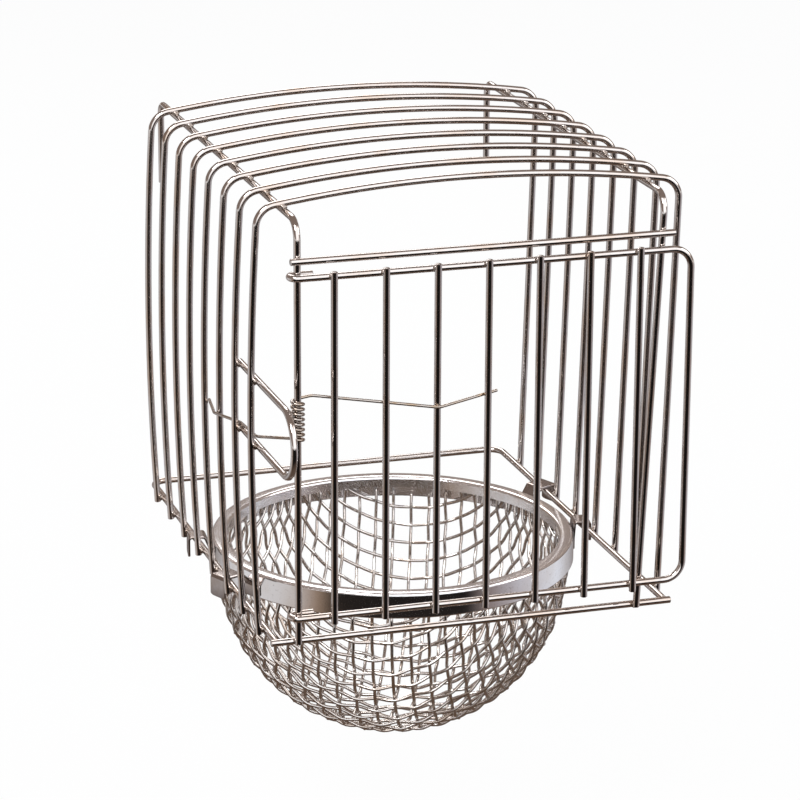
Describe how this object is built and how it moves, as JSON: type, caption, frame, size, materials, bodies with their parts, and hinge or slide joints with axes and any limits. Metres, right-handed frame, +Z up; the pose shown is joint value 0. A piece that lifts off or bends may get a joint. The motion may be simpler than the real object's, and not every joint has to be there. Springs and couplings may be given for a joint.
{
  "type": "hang-on bird nest",
  "caption": "Wire nest house for cage birds that hangs on the outside of a cage, with hoop bars, a sprung hinged door and a woven mesh nest bowl hooked into its floor.",
  "frame": {"origin": "midway between the two hanging hooks, where the underside of the hook wires meets the inner face of their tails", "axes": "+X to the right seen from the door, +Y towards the cage it hangs on, +Z up"},
  "size_m": [0.1165, 0.1608, 0.1725],
  "materials": {
    "frame_wire": "bright plated wire",
    "door_wire": "bright plated wire",
    "spring_wire": "drawn spring wire",
    "rim_strip": "plated strip",
    "mesh_cloth": "plated woven wire",
    "ear_strip": "plated strip"
  },
  "bodies": {
    "frame": {"hoop_1": "frame_wire", "hoop_2": "frame_wire", "hoop_3": "frame_wire", "hoop_4": "frame_wire", "hoop_5": "frame_wire", "hoop_6": "frame_wire", "hoop_7": "frame_wire", "hoop_8": "frame_wire", "left_hook_wire": "frame_wire", "right_hook_wire": "frame_wire", "base_wire": "frame_wire", "front_cross_wire": "frame_wire", "top_cross_bar": "frame_wire", "door_stop_loop": "frame_wire", "torsion_spring": "spring_wire"},
    "door": {"door_frame": "door_wire", "door_bar_1": "door_wire", "door_bar_2": "door_wire", "door_bar_3": "door_wire", "door_bar_4": "door_wire", "door_bar_5": "door_wire", "door_bar_6": "door_wire", "door_bar_7": "door_wire"},
    "nest_bowl": {"rim_band": "rim_strip", "mesh_warp": "mesh_cloth", "mesh_weft": "mesh_cloth", "ear_left_rear": "ear_strip", "ear_left_front": "ear_strip", "ear_right_rear": "ear_strip", "ear_right_front": "ear_strip"}
  },
  "joints": [
    {"name": "door_hinge", "type": "hinge", "parent": "frame", "child": "door", "pos_m": [-0.0482, -0.13708, 0], "axis": [0, 0, -1], "range_deg": [0, 92], "stiffness_Nm_per_rad": 0.055, "springref_deg": -45.84, "deforming": ["torsion_spring"]},
    {"name": "bowl_lift", "type": "slide", "parent": "frame", "child": "nest_bowl", "axis": [0, 0, 1], "range_m": [0, 0.04]}
  ]
}
